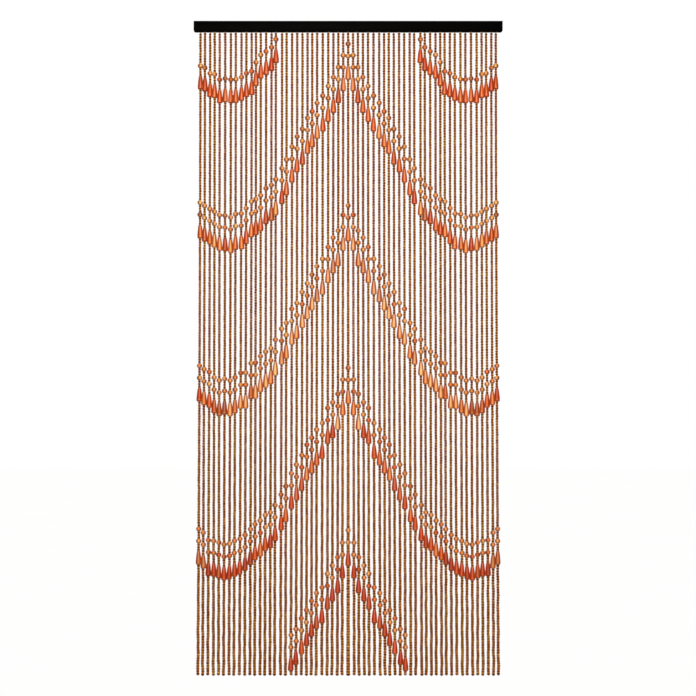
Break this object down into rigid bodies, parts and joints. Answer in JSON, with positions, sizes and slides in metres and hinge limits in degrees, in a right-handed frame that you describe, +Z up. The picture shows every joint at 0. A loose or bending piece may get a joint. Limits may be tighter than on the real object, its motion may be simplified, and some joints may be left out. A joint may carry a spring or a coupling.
{
  "type": "wooden bead door curtain with its head rail",
  "caption": "Door curtain of small brown wooden beads on cords, with orange balls and drops strung in zigzag swags, hanging from a black wooden head rail.",
  "frame": {"origin": "centre of the head rail's flat back face, which goes against the wall or the door frame", "axes": "+Z up along the hanging strands, +Y out of the rail's back into the wall, +X along the rail to the right as seen from the front"},
  "size_m": [0.9, 0.03, 1.909],
  "materials": {
    "rail_wood": "satin black paint on wood",
    "small_beads": "brown stain under a thin satin varnish",
    "orange_beads": "orange gloss lacquer with a darker rim",
    "cord": "thin twisted brown thread"
  },
  "bodies": {
    "root": {"head_rail": "rail_wood", "strands_left": "small_beads", "strands_middle": "small_beads", "strands_right": "small_beads"}
  },
  "joints": []
}
